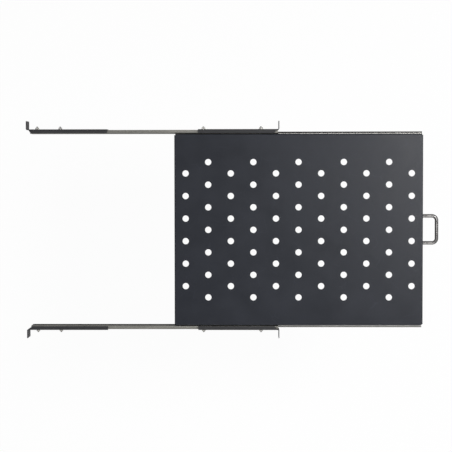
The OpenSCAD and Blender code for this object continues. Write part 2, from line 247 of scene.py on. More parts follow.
def pick_edges(test):
    """Selects the edges that have both ends (in mm) where a test says."""
    mesh = bmesh.from_edit_mesh(bpy.context.object.data)
    bpy.ops.mesh.select_all(action="DESELECT")
    for edge in mesh.edges:
        if all(test(end.co / MM) for end in edge.verts):
            edge.select_set(True)
    bmesh.update_edit_mesh(bpy.context.object.data)


def draw_out(x, y, z):
    """Extrudes what is selected by a distance in millimetres."""
    bpy.ops.mesh.extrude_region_move(TRANSFORM_OT_translate={"value": (x * MM, y * MM, z * MM)})


def swing(steps, angle, centre, axis):
    """Spins what is selected round a point in millimetres."""
    bpy.ops.mesh.spin(steps=steps, angle=angle, center=[v * MM for v in centre], axis=axis)


def round_off(width, segments):
    """Rounds the selected edges by a width in millimetres."""
    bpy.ops.mesh.bevel(offset=width * MM, segments=segments, affect="EDGES")


def merge_doubles(distance=MERGE):
    """Selects all of the open piece and merges the points that lie together."""
    bpy.ops.mesh.select_all(action="SELECT")
    bpy.ops.mesh.remove_doubles(threshold=distance)


def face_outwards():
    """Selects all of the open piece and turns its faces outwards."""
    bpy.ops.mesh.select_all(action="SELECT")
    bpy.ops.mesh.normals_make_consistent(inside=False)


def apply_modifier(piece, kind, **settings):
    """Adds a modifier, sets it and applies it at once."""
    take_up(piece)
    modifier = piece.modifiers.new(kind.lower(), kind)
    for name, value in settings.items():
        setattr(modifier, name, value)
    bpy.ops.object.modifier_apply(modifier=modifier.name)


def combine(piece, tool, operation):
    """Cuts a tool out of a piece, welds it on or keeps what both share, and clears the tool away."""
    apply_modifier(piece, "BOOLEAN", operation=operation, object=tool, solver="EXACT")
    bpy.data.objects.remove(tool)


def joined(pieces, name):
    """Makes several pieces one."""
    take_up(pieces[0])
    for piece in pieces[1:]:
        piece.select_set(True)
    bpy.ops.object.join()
    bpy.context.object.name = name
    return bpy.context.object


def placed(piece, name, point, axis):
    """A copy of a piece that was made along +Z, set at a point (mm) and turned to an axis."""
    copy = piece.copy()
    copy.data = piece.data.copy()
    copy.name = name
    bpy.context.scene.collection.objects.link(copy)
    turn = Vector((0, 0, 1)).rotation_difference(Vector(axis)).to_matrix().to_4x4()
    copy.data.transform(Matrix.Translation(Vector(point) * MM) @ turn)
    return copy


def shade_bends(piece, angle=35):
    """Shades the bends under an angle in degrees as smooth."""
    take_up(piece)
    bpy.ops.object.shade_smooth_by_angle(angle=radians(angle))


def soften(piece, width, angle=50, segments=2):
    """Rounds a piece's sharp edges a little and shades its bends as smooth."""
    apply_modifier(piece, "BEVEL", width=width * MM, segments=segments, limit_method="ANGLE",
                   angle_limit=radians(angle), harden_normals=False, use_clamp_overlap=True)
    shade_bends(piece)
    apply_modifier(piece, "WEIGHTED_NORMAL", keep_sharp=True, weight=50)


def fit(piece, body, slot, finish, *nodes):
    """Gives a piece its finish and the body it moves with, in place of its CAD nodes."""
    piece.data.materials.clear()
    piece.data.materials.append(finish)
    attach(piece, body)
    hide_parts(*nodes)


# Shader parts

def shader_node(tree, kind, place, **settings):
    """Adds a node. Settings named after a socket go to that socket, the rest to the node."""
    made = tree.nodes.new(kind)
    made.location = (place[0] * 200, place[1] * 160)
    for name, value in settings.items():
        socket = made.inputs.get(name.replace("_", " "))
        if socket is not None and not hasattr(made, name):
            socket.default_value = value
        else:
            setattr(made, name, value)
    return made


def ramp(tree, place, stops, source):
    """A colour ramp of grey stops: (position, value)."""
    made = shader_node(tree, "ShaderNodeValToRGB", place)
    line = made.color_ramp.elements
    while len(line) < len(stops):
        line.new(0.5)
    for element, (position, value) in zip(line, stops):
        element.position = position
        element.color = (value, value, value, 1)
    tree.links.new(source, made.inputs["Fac"])
    return made.outputs["Color"]


def maths(tree, place, operation, first, second, clamp=False):
    """One sum. Either term is a number or another node's output."""
    made = shader_node(tree, "ShaderNodeMath", place, operation=operation, use_clamp=clamp)
    for term, socket in zip((first, second), made.inputs):
        if isinstance(term, (int, float)):
            socket.default_value = term
        else:
            tree.links.new(term, socket)
    return made.outputs["Value"]


def blended(tree, place, share, low, high):
    """Mixes two colours by a share from another node. Each is an RGB triple or a node's output."""
    made = shader_node(tree, "ShaderNodeMix", place, data_type="RGBA")
    for name, value in (("Factor_Float", share), ("A_Color", low), ("B_Color", high)):
        socket = next(s for s in made.inputs if s.identifier == name)
        if isinstance(value, tuple):
            socket.default_value = (*value, 1)
        else:
            tree.links.new(value, socket)
    return next(s for s in made.outputs if s.identifier == "Result_Color")


def laid_over(tree, column, colour, mask, share, top):
    """Lays another colour over one, by a share of a mask."""
    strength = maths(tree, (column - 1, 1), "MULTIPLY", mask, share)
    return blended(tree, (column, 2), strength, colour, top)


def toned(colour, factor):
    """A paler or deeper tone of a colour, no brighter than white."""
    return tuple(min(1.0, factor * v) for v in colour)


def new_group(name, inputs, outputs):
    """An empty node group with named sockets. Inputs are (name, kind, value)."""
    group = bpy.data.node_groups.new(name, "ShaderNodeTree")
    for label, kind, value in inputs:
        socket = group.interface.new_socket(label, in_out="INPUT", socket_type="NodeSocket" + kind)
        if value is not None:
            socket.default_value = value
    for label, kind in outputs:
        group.interface.new_socket(label, in_out="OUTPUT", socket_type="NodeSocket" + kind)
    start = shader_node(group, "NodeGroupInput", (-6, 0))
    end = shader_node(group, "NodeGroupOutput", (6, 0))
    return group, start.outputs, end.inputs


def placed_group(tree, group, place, **values):
    """Puts a node group into a material with its own values."""
    made = shader_node(tree, "ShaderNodeGroup", place, node_tree=group)
    for name, value in values.items():
        socket = made.inputs[name.replace("_", " ")]
        if isinstance(value, (int, float)):
            socket.default_value = value
        else:
            tree.links.new(value, socket)
    return made.outputs


def edge_wear_and_highlight_group():
    """A mask of the edges, broken up as handling rubs them, that lays on edge wear with a painted edge
    highlight.
    """
    group, start, end = new_group(
        "edge_wear_and_highlight",
        [("Object Point", "Vector", None), ("Width", "Float", 0.6 * MM), ("Break Up", "Float", 300.0)],
        [("Mask", "Float")])
    bevel = shader_node(group, "ShaderNodeBevel", (-4, 1), samples=6)
    group.links.new(start["Width"], bevel.inputs["Radius"])
    flat = shader_node(group, "ShaderNodeNewGeometry", (-4, 0))
    cosine = shader_node(group, "ShaderNodeVectorMath", (-3, 1), operation="DOT_PRODUCT")
    group.links.new(bevel.outputs["Normal"], cosine.inputs[0])
    group.links.new(flat.outputs["Normal"], cosine.inputs[1])
    away = maths(group, (-2.5, 1), "SUBTRACT", 1.0, cosine.outputs["Value"], clamp=True)
    turned = ramp(group, (-2, 1), [(0.0, 0), (0.04, 0.15), (0.22, 1)], away)
    patches = shader_node(group, "ShaderNodeTexNoise", (-3, -1), Detail=4.0, Roughness=0.65)
    group.links.new(start["Object Point"], patches.inputs["Vector"])
    group.links.new(start["Break Up"], patches.inputs["Scale"])
    broken = ramp(group, (-1, -1), [(0.35, 0.15), (0.62, 1)], patches.outputs["Fac"])
    group.links.new(maths(group, (2, 0), "MULTIPLY", turned, broken), end["Mask"])
    return group


def mottle_group():
    """Slow unevenness over a surface, with finer specks in it."""
    group, start, end = new_group(
        "mottle",
        [("Object Point", "Vector", None), ("Size", "Float", 18.0), ("Speck Size", "Float", 900.0)],
        [("Clouds", "Float"), ("Specks", "Float")])
    clouds = shader_node(group, "ShaderNodeTexNoise", (-3, 1), Detail=5.0, Roughness=0.55)
    specks = shader_node(group, "ShaderNodeTexNoise", (-3, -1), Detail=2.0, Roughness=0.6)
    for made, scale in ((clouds, "Size"), (specks, "Speck Size")):
        group.links.new(start["Object Point"], made.inputs["Vector"])
        group.links.new(start[scale], made.inputs["Scale"])
    group.links.new(ramp(group, (0, 1), [(0.3, 0), (0.7, 1)], clouds.outputs["Fac"]), end["Clouds"])
    group.links.new(ramp(group, (0, -1), [(0.58, 0), (0.76, 1)], specks.outputs["Fac"]), end["Specks"])
    return group


def drawn_lines_group():
    """Fine lines along Y, as rolling and drawing leave them, at two widths."""
    group, start, end = new_group(
        "drawn_lines",
        [("Object Point", "Vector", None), ("Across", "Float", 2500.0), ("Along", "Float", 12.0)],
        [("Lines", "Float"), ("Bands", "Float")])
    for label, row, fineness in (("Lines", 1, 1.0), ("Bands", -1, 0.12)):
        across = maths(group, (-5, row), "MULTIPLY", start["Across"], fineness)
        stretch = shader_node(group, "ShaderNodeCombineXYZ", (-4, row))
        group.links.new(across, stretch.inputs["X"])
        group.links.new(start["Along"], stretch.inputs["Y"])
        group.links.new(across, stretch.inputs["Z"])
        scaled = shader_node(group, "ShaderNodeVectorMath", (-3, row), operation="MULTIPLY")
        group.links.new(start["Object Point"], scaled.inputs[0])
        group.links.new(stretch.outputs["Vector"], scaled.inputs[1])
        noise = shader_node(group, "ShaderNodeTexNoise", (-2, row), Scale=1.0, Detail=4.0, Roughness=0.6)
        group.links.new(scaled.outputs["Vector"], noise.inputs["Vector"])
        group.links.new(ramp(group, (0, row), [(0.3, 0), (0.7, 1)], noise.outputs["Fac"]), end[label])
    return group


def scratches_group():
    """Sparse hair scratches that run every way."""
    group, start, end = new_group(
        "hair_scratches",
        [("Object Point", "Vector", None), ("Spacing", "Float", 60.0)],
        [("Mask", "Float")])
    wander = shader_node(group, "ShaderNodeTexNoise", (-5, -1), Scale=25.0, Detail=2.0)
    group.links.new(start["Object Point"], wander.inputs["Vector"])
    shift = shader_node(group, "ShaderNodeVectorMath", (-4, 0), operation="MULTIPLY_ADD")
    shift.inputs[1].default_value = [12 * MM] * 3
    group.links.new(wander.outputs["Color"], shift.inputs[0])
    group.links.new(start["Object Point"], shift.inputs[2])
    cells = shader_node(group, "ShaderNodeTexVoronoi", (-3, 0), feature="DISTANCE_TO_EDGE")
    group.links.new(shift.outputs["Vector"], cells.inputs["Vector"])
    group.links.new(start["Spacing"], cells.inputs["Scale"])
    lines = ramp(group, (-1, 0), [(0.0, 1), (0.006, 0.6), (0.016, 0)], cells.outputs["Distance"])
    where = shader_node(group, "ShaderNodeTexNoise", (-3, -2), Scale=40.0, Detail=3.0)
    group.links.new(start["Object Point"], where.inputs["Vector"])
    here = ramp(group, (-1, -2), [(0.5, 0), (0.62, 1)], where.outputs["Fac"])
    group.links.new(maths(group, (2, 0), "MULTIPLY", lines, here), end["Mask"])
    return group


EDGE_WEAR_AND_HIGHLIGHT = edge_wear_and_highlight_group()
MOTTLE = mottle_group()
DRAWN_LINES = drawn_lines_group()
SCRATCHES = scratches_group()


def new_finish(name, **shader_values):
    """A material with its Principled shader and object point, ready for its own detail."""
    finish = bpy.data.materials.new(name)
    finish.use_nodes = True
    tree = finish.node_tree
    shader = tree.nodes["Principled BSDF"]
    shader.location = (1200, 0)
    tree.nodes["Material Output"].location = (1500, 0)
    for label, value in shader_values.items():
        shader.inputs[label.replace("_", " ")].default_value = value
    point = shader_node(tree, "ShaderNodeTexCoord", (-6, 0)).outputs["Object"]
    return finish, tree, shader, point


def coloured(tree, shader, colour):
    """Feeds a colour to the shader."""
    tree.links.new(colour, shader.inputs["Base Color"])


def roughened(tree, shader, base, *layers):
    """Feeds a roughness to the shader: a base plus a share of each mask, which may be negative."""
    rough = base
    for column, (mask, share) in enumerate(layers):
        part = maths(tree, (column, -2), "MULTIPLY", mask, share)
        rough = maths(tree, (column + 1, -1), "ADD", rough, part)
    tree.links.new(rough, shader.inputs["Roughness"])


def bumped(tree, shader, height, depth, strength):
    """Feeds a height to the shader's normal. Depth is in millimetres."""
    bump = shader_node(tree, "ShaderNodeBump", (3, -4), Strength=strength, Distance=depth * MM)
    tree.links.new(height, bump.inputs["Height"])
    tree.links.new(bump.outputs["Normal"], shader.inputs["Normal"])


# Finishes

def powder_coat(name, dark, light, specular, roughness):
    """Matt black powder coat: orange-peel grain, slow clouds, pale specks, and rubbed edges with a painted
    edge highlight.
    """
    finish, tree, shader, point = new_finish(name, Metallic=0.0, Specular_IOR_Level=specular)
    mottle = placed_group(tree, MOTTLE, (-4, 2), Object_Point=point, Size=16.0, Speck_Size=1400.0)
    edge = placed_group(tree, EDGE_WEAR_AND_HIGHLIGHT, (-4, 0), Object_Point=point, Width=0.4 * MM, Break_Up=260.0)
    hair = placed_group(tree, SCRATCHES, (-4, -2), Object_Point=point, Spacing=22.0)
    colour = blended(tree, (-1, 2), mottle["Clouds"], dark, light)
    # Specks and hair scratches are the coat's own; the edge mask lays on wear and a painted edge highlight.
    for column, mask in enumerate((mottle["Specks"], edge["Mask"], hair["Mask"])):
        colour = laid_over(tree, column, colour, mask, share=0.35, top=toned(light, 2.2))
    coloured(tree, shader, colour)
    roughened(tree, shader, roughness, (mottle["Clouds"], 0.1), (edge["Mask"], -0.12))
    grain = shader_node(tree, "ShaderNodeTexNoise", (-4, -4), Scale=2200.0, Detail=2.0, Roughness=0.5)
    peel = shader_node(tree, "ShaderNodeTexVoronoi", (-4, -6),
                       Scale=1500.0, feature="SMOOTH_F1", Smoothness=1.0)
    tree.links.new(point, grain.inputs["Vector"])
    tree.links.new(point, peel.inputs["Vector"])
    height = maths(tree, (-2, -4), "ADD", grain.outputs["Fac"], peel.outputs["Distance"])
    bumped(tree, shader, height, depth=0.09, strength=0.8)
    return finish


def rolled_zinc(name, dull, bright, film):
    """Zinc on cold-rolled strip: lines along the rolling, a dull film, rubbed edges with a painted edge
    highlight, and scratches.
    """
    finish, tree, shader, point = new_finish(name, Metallic=1.0)
    lines = placed_group(tree, DRAWN_LINES, (-4, 2), Object_Point=point, Across=2600.0, Along=9.0)
    mottle = placed_group(tree, MOTTLE, (-4, 0), Object_Point=point, Size=30.0, Speck_Size=700.0)
    edge = placed_group(tree, EDGE_WEAR_AND_HIGHLIGHT, (-4, -1), Object_Point=point, Width=0.4 * MM, Break_Up=340.0)
    hair = placed_group(tree, SCRATCHES, (-4, -3), Object_Point=point, Spacing=45.0)
    colour = blended(tree, (-1, 2), lines["Bands"], dull, bright)
    colour = laid_over(tree, 0, colour, mottle["Clouds"], share=0.45, top=film)
    colour = laid_over(tree, 1, colour, lines["Lines"], share=0.25, top=bright)
    # Paler edges: wear and a painted edge highlight.
    colour = laid_over(tree, 2, colour, edge["Mask"], share=0.6, top=toned(bright, 1.4))
    colour = laid_over(tree, 3, colour, mottle["Specks"], share=0.3, top=toned(dull, 0.5))
    coloured(tree, shader, colour)
    roughened(tree, shader, 0.36, (mottle["Clouds"], 0.14), (lines["Lines"], 0.08), (edge["Mask"], -0.1))
    height = maths(tree, (0, -4), "SUBTRACT", lines["Lines"], hair["Mask"])
    bumped(tree, shader, height, depth=0.006, strength=0.8)
    return finish


def shaded_races(finish, starts_at, overlay_tone):
    """Paints shade over a slide member's races, outwards from a distance across the rack in millimetres."""
    wander = 0.6 * MM
    steepness = 1400.0
    tree = finish.node_tree
    shader = tree.nodes["Principled BSDF"]
    point = shader_node(tree, "ShaderNodeTexCoord", (-6, 5)).outputs["Object"]
    parts = shader_node(tree, "ShaderNodeSeparateXYZ", (-5, 5))
    tree.links.new(point, parts.inputs["Vector"])
    across = maths(tree, (-4, 5), "ABSOLUTE", parts.outputs["X"], 0.0)
    # Noise wobbles the border of the painted shade.
    border_noise = shader_node(tree, "ShaderNodeTexNoise", (-5, 6), Scale=160.0, Detail=3.0)
    tree.links.new(point, border_noise.inputs["Vector"])
    shift = maths(tree, (-4, 6), "MULTIPLY", border_noise.outputs["Fac"], wander)
    across = maths(tree, (-3, 5), "ADD", across, shift)
    share = maths(tree, (-2, 5), "SUBTRACT", across, starts_at * MM + wander / 2)
    share = maths(tree, (-1, 5), "MULTIPLY", share, steepness, clamp=True)
    under = shader.inputs["Base Color"].links[0].from_socket
    coloured(tree, shader, blended(tree, (4, 3), share, under, overlay_tone))


def satin_chrome(name, deep, bright):
    """Chrome over a drawn rod: lines along it, faint hazing from hands, hair scratches."""
    finish, tree, shader, point = new_finish(name, Metallic=1.0)
    mottle = placed_group(tree, MOTTLE, (-4, 2), Object_Point=point, Size=55.0, Speck_Size=2400.0)
    lines = placed_group(tree, DRAWN_LINES, (-4, 0), Object_Point=point, Across=1800.0, Along=120.0)
    hair = placed_group(tree, SCRATCHES, (-4, -2), Object_Point=point, Spacing=70.0)
    colour = blended(tree, (-1, 2), mottle["Clouds"], deep, bright)
    colour = laid_over(tree, 0, colour, mottle["Specks"], share=0.25, top=toned(deep, 0.6))
    coloured(tree, shader, colour)
    roughened(tree, shader, 0.17, (mottle["Clouds"], 0.1), (lines["Bands"], 0.06), (hair["Mask"], 0.25))
    height = maths(tree, (0, -4), "SUBTRACT", lines["Bands"], hair["Mask"])
    bumped(tree, shader, height, depth=0.0006, strength=0.4)
    return finish


def bright_zinc(name, cool, warm):
    """Bright zinc on turned screws and nuts: a blue-yellow passivated film, specks, and worn edges with a
    painted edge highlight.
    """
    finish, tree, shader, point = new_finish(name, Metallic=1.0)
    mottle = placed_group(tree, MOTTLE, (-4, 2), Object_Point=point, Size=260.0, Speck_Size=2600.0)
    edge = placed_group(tree, EDGE_WEAR_AND_HIGHLIGHT, (-4, 0), Object_Point=point, Width=0.2 * MM, Break_Up=900.0)
    colour = blended(tree, (-1, 2), mottle["Clouds"], cool, warm)
    # Paler edges: wear and a painted edge highlight.
    colour = laid_over(tree, 0, colour, edge["Mask"], share=0.7, top=toned(cool, 1.35))
    colour = laid_over(tree, 1, colour, mottle["Specks"], share=0.35, top=toned(cool, 0.45))
    coloured(tree, shader, colour)
    roughened(tree, shader, 0.22, (mottle["Clouds"], 0.14))
    bumped(tree, shader, mottle["Specks"], depth=0.01, strength=0.4)
    return finish


def bearing_steel(name, steel, overlay_tone):
    """Polished balls under a smear of grease."""
    finish, tree, shader, point = new_finish(name, Metallic=1.0, Coat_Roughness=0.12, Coat_IOR=1.45)
    mottle = placed_group(tree, MOTTLE, (-4, 1), Object_Point=point, Size=420.0, Speck_Size=3000.0)
    coloured(tree, shader, laid_over(tree, 0, steel, mottle["Clouds"], share=0.4, top=overlay_tone))
    roughened(tree, shader, 0.08, (mottle["Specks"], 0.2))
    film = maths(tree, (0, -3), "MULTIPLY", mottle["Clouds"], 0.5)
    tree.links.new(film, shader.inputs["Coat Weight"])
    return finish


def moulded_rubber(name, dark, bloom):
    """Moulded black rubber: fine pits, a grey bloom, and bloom on the edges as wear with a painted edge
    highlight.
    """
    finish, tree, shader, point = new_finish(name, Metallic=0.0, Specular_IOR_Level=0.35)
    mottle = placed_group(tree, MOTTLE, (-4, 1), Object_Point=point, Size=140.0, Speck_Size=1800.0)
    edge = placed_group(tree, EDGE_WEAR_AND_HIGHLIGHT, (-4, -1), Object_Point=point, Width=0.5 * MM, Break_Up=500.0)
    colour = laid_over(tree, 0, dark, mottle["Clouds"], share=0.5, top=bloom)
    # Bloom on the edges: wear and a painted edge highlight.
    colour = laid_over(tree, 1, colour, edge["Mask"], share=0.4, top=bloom)
    coloured(tree, shader, colour)
    roughened(tree, shader, 0.68, (mottle["Clouds"], 0.12))
    pits = shader_node(tree, "ShaderNodeTexNoise", (-4, -3), Scale=2600.0, Detail=3.0)
    tree.links.new(point, pits.inputs["Vector"])
    bumped(tree, shader, pits.outputs["Fac"], depth=0.05, strength=0.6)
    return finish


SHELF_COAT = powder_coat(
    "shelf_coat", dark=(0.007, 0.0085, 0.013), light=(0.0098, 0.0115, 0.017), specular=0.2, roughness=0.33)
BRACKET_COAT = powder_coat(
    "bracket_coat", dark=(0.021, 0.021, 0.0225), light=(0.029, 0.029, 0.031), specular=0.17, roughness=0.54)
CABINET_ZINC = rolled_zinc(
    "cabinet_zinc", dull=(0.1, 0.098, 0.09), bright=(0.19, 0.186, 0.172), film=(0.085, 0.083, 0.076))
# Both drawer members are one zinc: the right copy is painted lighter and the left copy darker, for how
# light falls on each side.
DRAWER_ZINC = {
    "right": rolled_zinc(
        "right_drawer_zinc_painted_lighter",
        dull=(0.37, 0.364, 0.345), bright=(0.65, 0.639, 0.612), film=(0.325, 0.32, 0.305)),
    "left": rolled_zinc(
        "left_drawer_zinc_painted_darker",
        dull=(0.28, 0.275, 0.261), bright=(0.49, 0.482, 0.462), film=(0.245, 0.241, 0.23)),
}
# Painted shade on the drawer members' outer races: near black on the right side and grey on the left, for
# how light falls on each side.
shaded_races(DRAWER_ZINC["right"], starts_at=213.4, overlay_tone=(0.012, 0.012, 0.0115))
shaded_races(DRAWER_ZINC["left"], starts_at=213.5, overlay_tone=(0.09, 0.09, 0.085))
CAGE_STRIP = rolled_zinc(
    "cage_strip", dull=(0.3, 0.3, 0.3), bright=(0.46, 0.46, 0.46), film=(0.26, 0.26, 0.25))
HANDLE_CHROME = satin_chrome("handle_chrome", deep=(0.091, 0.0887, 0.0877), bright=(0.116, 0.113, 0.1105))
SCREW_ZINC = bright_zinc("screw_zinc", cool=(0.31, 0.31, 0.327), warm=(0.385, 0.37, 0.325))
BALL_STEEL = bearing_steel("ball_steel", steel=(0.72, 0.72, 0.73), overlay_tone=(0.42, 0.36, 0.25))
BUMPER_RUBBER = moulded_rubber("bumper_rubber", dark=(0.012, 0.012, 0.012), bloom=(0.045, 0.044, 0.042))


# Fasteners, made once along +Z with the seat at z = 0

def cross_recess():
    """The tapered cross that a driver sits in, as a cutter that enters the head from below."""
    arms = []
    for turn in (0, 90):
        arm = slab("recess_arm", (-RECESS_SPAN / 2, -RECESS_W / 2, -RECESS_DEPTH),
                   (RECESS_SPAN / 2, RECESS_W / 2, RECESS_PAST))
        edit(arm)
        pick_faces(lambda middle, normal: normal.z < -SQUARELY)
        bpy.ops.transform.resize(value=RECESS_FLOOR_SHARES)
        done()
        arm.data.transform(Matrix.Rotation(radians(turn), 4, "Z"))
        arms.append(arm)
    cross, second = arms
    combine(cross, second, "UNION")
    cross.data.transform(Matrix.Translation((0, 0, -HEAD_H * MM)) @ Matrix.Rotation(pi, 4, "X"))
    return cross


def threaded_shank(start, end):
    """A bolt thread between two heights: a tooth is wound up and cut level at both ends."""
    crest, root = SCREW_D / 2 - CREST_EASE, SCREW_D / 2 - ROOT_DEPTH
    crest_share = 0.25
    spare_turns = 4
    sides = 20
    turns = int((end - start) / THREAD_PITCH) + spare_turns
    drop_selection()
    bpy.ops.mesh.primitive_plane_add(size=1, location=(0, 0, 0), rotation=(radians(90), 0, 0))
    shank = started("shank")
    edit(shank, "EDGE")
    pick_edges(lambda end_point: end_point.x < 0)
    bpy.ops.mesh.delete(type="EDGE_FACE")
    pick_edges(lambda end_point: end_point.x > 0)
    bpy.ops.transform.resize(value=(1, 1, crest_share))
    bpy.ops.mesh.select_all(action="SELECT")
    bpy.ops.transform.resize(value=((crest - root) * MM, 1, THREAD_PITCH * MM))
    bpy.ops.transform.translate(value=((crest + root) / 2 * MM, 0, (start - THREAD_PITCH) * MM))
    done()
    apply_modifier(shank, "SCREW", axis="Z", angle=2 * pi, screw_offset=THREAD_PITCH * MM, iterations=turns,
                   steps=sides, render_steps=sides, use_merge_vertices=True, merge_threshold=0.01 * MM)
    edit(shank, "VERT")
    merge_doubles()
    for level, side in ((start, {"clear_inner": True}), (end, {"clear_outer": True})):
        bpy.ops.mesh.select_all(action="SELECT")
        bpy.ops.mesh.bisect(plane_co=(0, 0, level * MM), plane_no=(0, 0, 1), use_fill=True,
                            threshold=0.001 * MM, **side)
    face_outwards()
    done()
    return shank


def pan_screw(name, tip, thread_start):
    """A pan-head screw whose head hangs below the seat and whose threaded shank runs up."""
    head = rod(name, HEAD_D / 2, HEAD_H, (0, 0, -HEAD_H), sides=48)
    edit(head, "EDGE")
    pick_edges(lambda end: end.z < -HEAD_H + NEAR)
    round_off(HEAD_ROUND, segments=6)
    pick_edges(lambda end: end.z > -NEAR)
    round_off(SEAT_ROUND, segments=2)
    done()
    combine(head, cross_recess(), "DIFFERENCE")
    neck = rod("neck", SCREW_D / 2 - CREST_EASE, NECK_ROOT + thread_start + NECK_LAP,
               (0, 0, -NECK_ROOT), sides=32)
    shank = threaded_shank(thread_start, tip)
    edit(shank)
    pick_faces(lambda middle, normal: middle.z > tip - NEAR and normal.z > SQUARELY)
    bpy.ops.transform.resize(value=(TIP_SHARE, TIP_SHARE, 1), center_override=(0, 0, tip * MM))
    done()
    whole = joined([head, neck, shank], name)
    shade_bends(whole, 40)
    return whole


def flange_nut(name):
    """A hexagon nut with its corners turned off, on a coned flange."""
    corner_r = NUT_AF / sqrt(3)
    cone_share = NUT_AF / NUT_FLANGE_D
    below = 0.5
    through = 1.0
    nut = rod(name, corner_r, NUT_H, (0, 0, 0), sides=6)
    turned = rod("turned", corner_r + NUT_TURNED_EASE, NUT_H + below, (0, 0, -below), sides=64)
    edit(turned, "EDGE")
    pick_edges(lambda end: end.z > NUT_H - NEAR)
    round_off(NUT_TURNED, segments=3)
    done()
    combine(nut, turned, "INTERSECT")
    flange = rod("flange", NUT_FLANGE_D / 2, 2 * NUT_FLANGE_T, (0, 0, 0), sides=64)
    edit(flange)
    pick_faces(lambda middle, normal: normal.z > SQUARELY)
    bpy.ops.transform.resize(value=(cone_share, cone_share, 1))
    done()
    rim = rod("rim", NUT_FLANGE_D / 2, NUT_FLANGE_T, (0, 0, 0), sides=64)
    combine(flange, rim, "UNION")
    combine(nut, flange, "UNION")
    bore = rod("bore", SCREW_D / 2 - NUT_BORE_EASE, NUT_H + 2 * through, (0, 0, -through), sides=40)
    combine(nut, bore, "DIFFERENCE")
    apply_modifier(nut, "BEVEL", width=NUT_EDGE * MM, segments=2, limit_method="ANGLE",
                   angle_limit=radians(35))
    shade_bends(nut, 32)
    return nut


def fastener_set(node, body, pattern, seats, axis):
    """One piece for a CAD node of fasteners, copied from a pattern to each seat."""
    copies = [placed(pattern, node + "_looks", seat, axis) for seat in seats]
    whole = joined(copies, node + "_looks")
    fit(whole, body, "zinc_screws", SCREW_ZINC, node)


def fasteners():
    """Screws and nuts of the brackets, the shelf's slides and the handle."""
    bracket_screw = pan_screw("bracket_screw", *BRACKET_SHANK)
    shelf_screw = pan_screw("shelf_screw", *SHELF_SHANK)
    handle_screw = pan_screw("handle_screw", *HANDLE_SHANK)
    nut = flange_nut("nut")
    for side, way in (("right", 1), ("left", -1)):
        out, back = (way, 0, 0), (-way, 0, 0)
        for end, stations in (("front", FRONT_SCREWS), ("rear", REAR_SCREWS)):
            fastener_set(f"{side}_{end}_bracket_screws", "fixed_slides", bracket_screw,
                         [(way * (CABINET_X - SLIDE_T), y, 0) for y in stations], out)
            fastener_set(f"{side}_{end}_bracket_nuts", "fixed_slides", nut,
                         [(way * BRACKET_X, y, 0) for y in stations], out)
        fastener_set(f"{side}_shelf_screws", "shelf", shelf_screw,
                     [(way * (SHELF_X + SLIDE_T), y, 0) for y in SHELF_SCREWS], back)
        fastener_set(f"{side}_shelf_nuts", "shelf", nut,
                     [(way * (SHELF_X - SHELF_T), y, 0) for y in SHELF_SCREWS], back)
    fastener_set("handle_screws", "shelf", handle_screw,
                 [(way * HANDLE_SPAN / 2, SHELF_FRONT + SHELF_T, HANDLE_Z) for way in (1, -1)], (0, -1, 0))
    for pattern in (bracket_screw, shelf_screw, handle_screw, nut):
        bpy.data.objects.remove(pattern)


# Shelf

def vent_places():
    """Middles of the vents: columns of six and seven by turns."""
    for column in range(VENT_COLUMNS):
        y = SHELF_FRONT + VENT_INSET + column * VENT_PITCH
        if column % 2 == 0:
            steps = [step + 0.5 for step in range(-VENT_HALF_ROW, VENT_HALF_ROW)]
        else:
            steps = range(-VENT_HALF_ROW, VENT_HALF_ROW + 1)
        for step in steps:
            yield step * VENT_PITCH, y


def sheet_holes():
    """Everything that is punched or drilled through the folded sheet, as one cutter."""
    punch = rod("punch", VENT_D / 2, TOOL_LENGTH, (0, 0, SHELF_TOP - PUNCH_DEPTH), sides=56)
    drill = rod("drill", SCREW_D / 2 + HOLE_PLAY, TOOL_LENGTH, (0, 0, -TOOL_LENGTH / 2), sides=28)
    holes = [placed(punch, "punch_hole", (x, y, 0), (0, 0, 1)) for x, y in vent_places()]
    for y in SHELF_SCREWS:
        for way in (1, -1):
            point = (way * (SHELF_X - DRILL_SET_BACK), y, 0)
            holes.append(placed(drill, "drill_hole", point, (way, 0, 0)))
    for way in (1, -1):
        point = (way * HANDLE_SPAN / 2, SHELF_FRONT + DRILL_SET_BACK, HANDLE_Z)
        holes.append(placed(drill, "drill_hole", point, (0, -1, 0)))
    for tool in (punch, drill):
        bpy.data.objects.remove(tool)
    return joined(holes, "sheet_holes")


